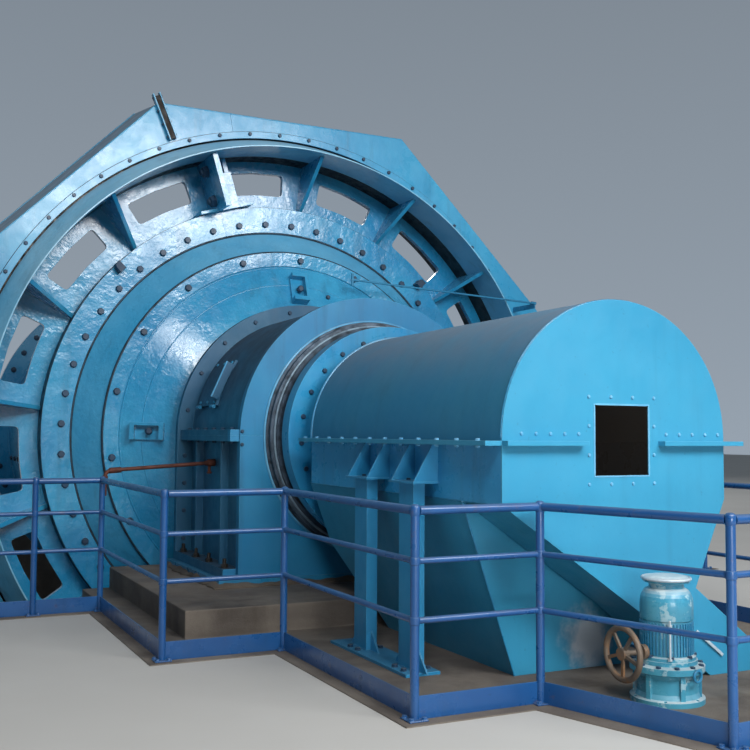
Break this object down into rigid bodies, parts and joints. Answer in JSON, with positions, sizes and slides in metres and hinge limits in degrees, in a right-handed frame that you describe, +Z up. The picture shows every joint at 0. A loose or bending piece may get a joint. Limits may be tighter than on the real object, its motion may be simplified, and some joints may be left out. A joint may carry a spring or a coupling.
{
  "type": "overflow ball mill with girth gear, guard, discharge hood and hand rail",
  "caption": "Horizontal ball mill: flanged drum on two trunnion bearings, split girth gear in an octagonal guard, round-topped discharge hood, chutes and a stepped hand rail.",
  "frame": {"origin": "on the underside of the foundation, below the mill axis at the discharge bearing's mid-plane", "axes": "+X across the mill, +Y along the mill axis towards the feed end, +Z up"},
  "size_m": [9, 16.302, 7.2],
  "materials": {
    "concrete": "rough grey-brown concrete",
    "paint_blue": "gloss sky-blue machine enamel",
    "rotor_blue": "gloss sky-blue enamel on cast and rolled steel",
    "seal_grey": "greasy grey felt and rubber",
    "pump_teal": "worn teal paint",
    "rusty_iron": "rust-brown iron",
    "rail_blue": "royal-blue enamel"
  },
  "bodies": {
    "plant": {"foundation_block": "concrete", "feed_pier": "concrete", "discharge_bearing_base": "paint_blue", "discharge_bearing_cap": "paint_blue", "feed_bearing_base": "paint_blue", "feed_bearing_cap": "paint_blue", "guard_front_upper": "paint_blue", "guard_front_lower": "paint_blue", "guard_back_upper": "paint_blue", "guard_back_lower": "paint_blue", "guard_retainer_ring": "paint_blue", "hood_front_plate": "paint_blue", "hood_flange": "paint_blue", "reject_chute": "paint_blue", "hood_shell": "paint_blue", "hood_lower_body": "paint_blue", "hood_back_plate": "paint_blue", "discharge_hopper": "paint_blue", "hood_legs_left": "paint_blue", "hood_legs_right": "paint_blue", "guard_wrap_upper": "paint_blue", "guard_wrap_lower": "paint_blue", "discharge_bearing_door": "paint_blue", "feed_bearing_door": "paint_blue", "discharge_sole_plate": "paint_blue", "feed_sole_plate": "paint_blue", "discharge_seal_ring": "seal_grey", "feed_seal_ring": "seal_grey", "pump_body": "pump_teal", "pump_motor": "pump_teal", "pump_valve": "rusty_iron", "rail_run_1": "rail_blue", "rail_run_2": "rail_blue", "rail_run_3": "rail_blue", "rail_run_4": "rail_blue", "rail_run_5": "rail_blue", "rail_run_6": "rail_blue", "rail_run_7": "rail_blue", "rail_run_8": "rail_blue", "rail_run_9": "rail_blue"},
    "drum": {"mill_shell": "rotor_blue", "shell_flange_discharge": "rotor_blue", "shell_flange_feed": "rotor_blue", "discharge_head": "rotor_blue", "discharge_end_ring": "rotor_blue", "feed_head": "rotor_blue", "feed_end_ring": "rotor_blue", "girth_gear_upper": "rotor_blue", "girth_gear_lower": "rotor_blue", "gear_web_upper": "rotor_blue", "gear_web_lower": "rotor_blue", "gear_skirt": "rotor_blue", "discharge_trunnion": "rotor_blue", "feed_trunnion": "rotor_blue"}
  },
  "joints": [
    {"name": "drum_turn", "type": "hinge", "parent": "plant", "child": "drum", "pos_m": [0, 0, 3.6], "axis": [0, 1, 0], "continuous": true}
  ]
}
